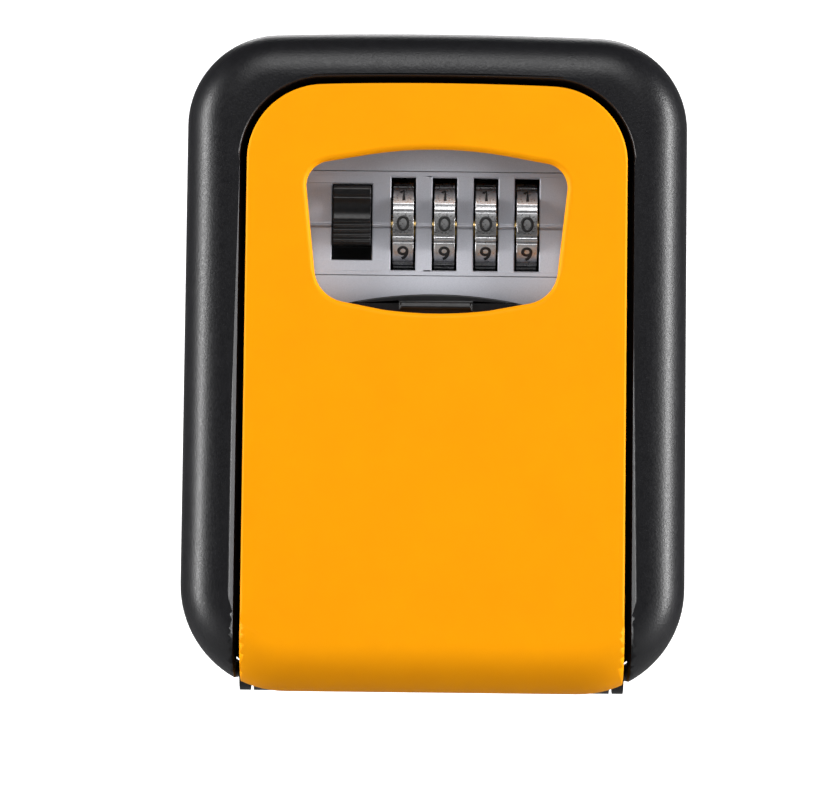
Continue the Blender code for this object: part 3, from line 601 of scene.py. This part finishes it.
def slide_button():
    """The thumb slide: a lip on top, a hollow for the thumb and a row of ribs."""
    front = [(-34.6, 33), (-35.7, 32.7), (-36.0, 32.2), (-36.0, 31.2)]
    front += [(-35.5, 30.7), (-35.7, 30.4), (-35.3, 30)]
    for k in range(1, 9):
        front.append((-35.0 + 0.55 * math.sin(math.radians(20 * k)), 29.9 - 0.42 * k))
    for k in range(5):
        top = 26.2 - 0.95 * k
        out = -35.35 - 0.1 * k
        front += [(out, top), (out - 0.25, top - 0.16), (out - 0.25, top - 0.42), (out, top - 0.58)]
    front += [(-35.6, 21.6), (-31.4, 21.6), (-31.4, 33)]
    profile = [(y * MM, z * MM) for y, z in front]
    button = flat_solid("slide_button", [profile], -19.55 * MM, -12.45 * MM, "X")
    flange = box(
        "flange",
        (BUTTON_LOW.x, BUTTON_HIGH.x),
        (-31.9 * MM, -30.9 * MM),
        (BUTTON_LOW.z, BUTTON_HIGH.z),
    )
    stem_depth = (-31.5 * MM, BUTTON_HIGH.y)
    stem = box("stem", (-18.1 * MM, -14.5 * MM), stem_depth, (24.4 * MM, 29.6 * MM))
    join(button, flange, stem)
    round_edges(button, 0.16 * MM, lambda at: 1.0 if at.y < -32 * MM else 0.5, 2, 30)
    finish_piece(button, "latch", SURFACES["black_button"], "black_button", "release_button")


# ---- dials --------------------------------------------------------------------------------
def polar(radius, degrees):
    """A point in a dial's (y, z) plane. Zero degrees faces the front, and it grows upwards."""
    angle = math.radians(degrees)
    return (-radius * math.cos(angle), radius * math.sin(angle))


def face_frame(degrees, depth):
    """The placing of something drawn flat in x and y onto a dial's face at that angle."""
    turn = Matrix.Rotation(math.radians(-degrees), 4, "X")
    return turn @ Matrix.Translation((0, -depth, 0)) @ Matrix.Rotation(math.radians(90), 4, "X")


def arc(u, v, radius_u, radius_v, start, end):
    """Points along part of an ellipse, from start to end degrees."""
    steps = max(3, round(abs(end - start) / 18))
    turns = [math.radians(start + (end - start) * k / steps) for k in range(steps + 1)]
    return [(u + radius_u * math.cos(t), v + radius_v * math.sin(t)) for t in turns]


DIGIT_STROKES = {
    0: [arc(0, 0, 0.78, 0.98, 0, 342)],
    1: [[(-0.42, 0.6), (0.05, 1), (0.05, -1)]],
    2: [arc(0, 0.42, 0.6, 0.58, 160, -35) + [(-0.62, -1), (0.66, -1)]],
    3: [arc(-0.04, 0.5, 0.56, 0.5, 145, -80), arc(-0.04, -0.48, 0.64, 0.52, 80, -145)],
    4: [[(0.28, -1), (0.28, 1), (-0.66, -0.36), (0.68, -0.36)]],
    5: [[(0.52, 1), (-0.46, 1), (-0.54, 0.1)] + arc(-0.02, -0.34, 0.64, 0.64, 125, -145)],
    6: [arc(0, -0.4, 0.64, 0.6, 0, 342), arc(0.4, -0.3, 1.03, 1.3, 178, 102)],
    7: [[(-0.6, 1), (0.62, 1), (-0.15, -1)]],
    8: [arc(0, 0.52, 0.5, 0.47, 0, 342), arc(0, -0.48, 0.64, 0.52, 0, 342)],
    9: [arc(0, 0.4, 0.64, 0.6, 0, 342), arc(-0.4, 0.3, 1.03, 1.3, -2, -78)],
}
CLOSED_STROKE_POINTS = 20


def digit_mesh(digit):
    """A plain digit of rounded enamel strokes, drawn flat in x and y."""
    curve = bpy.data.curves.new("digit", "CURVE")
    curve.dimensions = "3D"
    curve.bevel_depth = 0.3 * MM
    curve.bevel_resolution = 3
    curve.use_fill_caps = True
    for stroke in DIGIT_STROKES[digit]:
        spline = curve.splines.new("POLY")
        spline.points.add(len(stroke) - 1)
        spline.use_cyclic_u = len(stroke) == CLOSED_STROKE_POINTS
        for point, (u, v) in zip(spline.points, stroke):
            point.co = (u * 1.24 * MM, v * 1.24 * MM, 0, 1)
    source = new_object("digit", curve)
    mesh = mesh_of(source)
    bpy.data.objects.remove(source)
    mesh.transform(Matrix.Diagonal((1, 1, 0.32, 1)))
    return mesh


def wheel_mesh():
    """One dial: ten flat faces with a grip ridge between each two."""
    pitch = 360 / DIGITS
    profile = (
        (-12, 0), (12, 0), (12.9, 0.35), (13.8, 0.5), (14.7, 0.45), (15.6, 0.16), (16.6, 0.05),
        (19.4, 0.05), (20.4, 0.16), (21.3, 0.45), (22.2, 0.5), (23.1, 0.35),
    )
    rim = []
    for digit in range(DIGITS):
        for degrees, drop in profile:
            rim.append(polar(DIAL_RADIUS - drop * MM, digit * pitch + degrees))
    bore = [polar(4.5 * MM, k * 9) for k in range(40)]
    wheel = flat_solid("wheel", [rim, bore], -DIAL_HALF, DIAL_HALF, "X")
    mesh = wheel.data
    bpy.data.objects.remove(wheel)
    return mesh


def digit_ring():
    """The ten digits, each on its face of the dial."""
    apothem = DIAL_RADIUS * math.cos(math.radians(12))
    ring = bmesh.new()
    for digit in range(DIGITS):
        mesh = digit_mesh(digit)
        mesh.transform(face_frame(digit * 360 / DIGITS, apothem))
        ring.from_mesh(mesh)
    mesh = bpy.data.meshes.new("dial_digits")
    ring.to_mesh(mesh)
    ring.free()
    return mesh


def on_side(at):
    return 1.0 if abs(at.x) > DIAL_HALF - 0.01 * MM else 0.0


def dial_wheels():
    wheel = wheel_mesh()
    ring = digit_ring()
    for i, centre in enumerate(DIAL_CENTRES, 1):
        piece = new_object(f"number_wheel_{i}", wheel.copy())
        piece.location = centre
        round_edges(piece, 0.09 * MM, on_side, 2, 60)
        finish_piece(
            piece, f"dial_{i}", SURFACES["chrome"], "chrome", f"dial_wheel_{i}", smooth_angle=20
        )
        digits = new_object(f"dial_digits_{i}", ring.copy())
        digits.location = centre
        finish_piece(digits, f"dial_{i}", ENAMEL, "black_button")


# ---- carried-over nodes -------------------------------------------------------------------
def dress_node(node, slot):
    """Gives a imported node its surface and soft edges. Its shape stays."""
    node.data.materials.clear()
    node.data.materials.append(SURFACES[slot])
    join_points = node.modifiers.new("weld", "WELD")
    join_points.merge_threshold = 0.002 * MM
    edges = node.modifiers.new("edges", "BEVEL")
    edges.width = 0.12 * MM
    edges.segments = 2
    edges.limit_method = "ANGLE"
    edges.angle_limit = math.radians(35)
    edges.harden_normals = True
    node.data.shade_smooth()
    custom = node.data.attributes.get("custom_normal")
    if custom is not None:
        node.data.attributes.remove(custom)


# ---- studio -------------------------------------------------------------------------------
def studio_floor():
    """A pale floor that curves up into a backdrop.

    Only the camera sees it bright, so it adds no glare. The box hangs above it, as on a wall, so
    that the open door clears it.
    """
    profile = [(-2.5, 0.0), (0.5, 0.0)]
    radius = 0.5
    for k in range(1, 17):
        angle = math.radians(90 * k / 16)
        profile.append((0.5 + radius * math.sin(angle), radius - radius * math.cos(angle)))
    profile.append((1.0, 2.5))
    shape = bmesh.new()
    rows = []
    for x in (-3, 3):
        rows.append([shape.verts.new((x, y, FLOOR_Z + z)) for y, z in profile])
    for k in range(len(profile) - 1):
        shape.faces.new((rows[0][k], rows[1][k], rows[1][k + 1], rows[0][k + 1]))
    floor = from_bmesh("studio_floor", shape)
    floor.data.shade_smooth()
    s = Surface("studio_paper", Roughness=0.9, Specular_IOR_Level=0.1)
    s.colour(s.noise(0.05), (0.86, 0.86, 0.86), (0.9, 0.9, 0.9))
    s.bump(s.noise(0.002), 0.05 * MM, 0.1)
    s.shader.inputs["Emission Color"].default_value = (1, 1, 1, 1)
    s.shader.inputs["Emission Strength"].default_value = 0.8
    seen_by = s.tree.nodes.new("ShaderNodeLightPath")
    dim = s.tree.nodes.new("ShaderNodeBsdfDiffuse")
    dim.inputs["Color"].default_value = (0.34, 0.34, 0.34, 1)
    mix = s.tree.nodes.new("ShaderNodeMixShader")
    s.link(seen_by.outputs["Is Camera Ray"], mix.inputs["Fac"])
    s.link(dim.outputs["BSDF"], mix.inputs[1])
    s.link(s.shader.outputs["BSDF"], mix.inputs[2])
    s.link(mix.outputs["Shader"], s.tree.nodes["Material Output"].inputs["Surface"])
    floor.data.materials.append(s.material)


def area_light(name, place, target, width, height, power):
    light = bpy.data.lights.new(name, "AREA")
    light.shape = "RECTANGLE"
    light.size = width
    light.size_y = height
    light.energy = power
    obj = new_object(name, light)
    obj.location = place
    obj.rotation_mode = "QUATERNION"
    obj.rotation_quaternion = (Vector(target) - Vector(place)).to_track_quat("-Z", "Y")


def studio_lights():
    area_light("key", (0, -0.62, 0.72), (0, 0, -0.01), 0.6, 0.36, 3.2)
    area_light("strip_left", (-0.62, -0.19, 0.0), (0, -0.03, 0), 0.1, 0.7, 7.5)
    area_light("strip_right", (0.62, -0.19, 0.0), (0, -0.03, 0), 0.1, 0.7, 9)
    area_light("front_fill", (0, -1.4, 0.95), (0, 0, -0.02), 0.5, 0.4, 4)
    area_light("back_fill", (0, 0.75, 0.6), (0, 0, 0), 0.5, 0.3, 1.8)
    world = bpy.data.worlds.new("studio")
    world.use_nodes = True
    background = world.node_tree.nodes["Background"]
    background.inputs["Color"].default_value = (1, 1, 1, 1)
    background.inputs["Strength"].default_value = 0.04
    bpy.context.scene.world = world


def camera():
    """Straight on and a little below the middle, as for a catalogue picture."""
    data = bpy.data.cameras.new("camera")
    data.sensor_width = 36
    obj = new_object("camera", data)
    target = Vector((0, -30 * MM, 0))
    distance = 0.68
    elevation, roll = math.radians(-4.5), math.radians(0.65)
    pixels_per_mm = 5.27
    data.lens = data.sensor_width * distance / MM * pixels_per_mm / IMAGE_WIDTH
    back = Vector((0, -math.cos(elevation), math.sin(elevation)))
    obj.location = target + back * distance
    obj.rotation_mode = "QUATERNION"
    level = (-back).to_track_quat("-Z", "Y")
    obj.rotation_quaternion = level @ Matrix.Rotation(roll, 3, "Z").to_quaternion()
    data.shift_x = -24 / IMAGE_WIDTH
    data.shift_y = -38 / IMAGE_WIDTH
    data.clip_start = 0.01
    bpy.context.scene.camera = obj
    bpy.context.scene.view_settings.view_transform = "Standard"


ENAMEL = enamel()
SLOTS = {entry["node"]: entry["material_slot"] for entry in frame["record"]["subparts"]}

for node_name, node_object in frame["nodes"].items():
    dress_node(node_object, SLOTS[node_name])
bezel_shell()
door_skin()
lock_plate()
shutter_leaf()
slide_button()
dial_wheels()
studio_floor()
studio_lights()
camera()
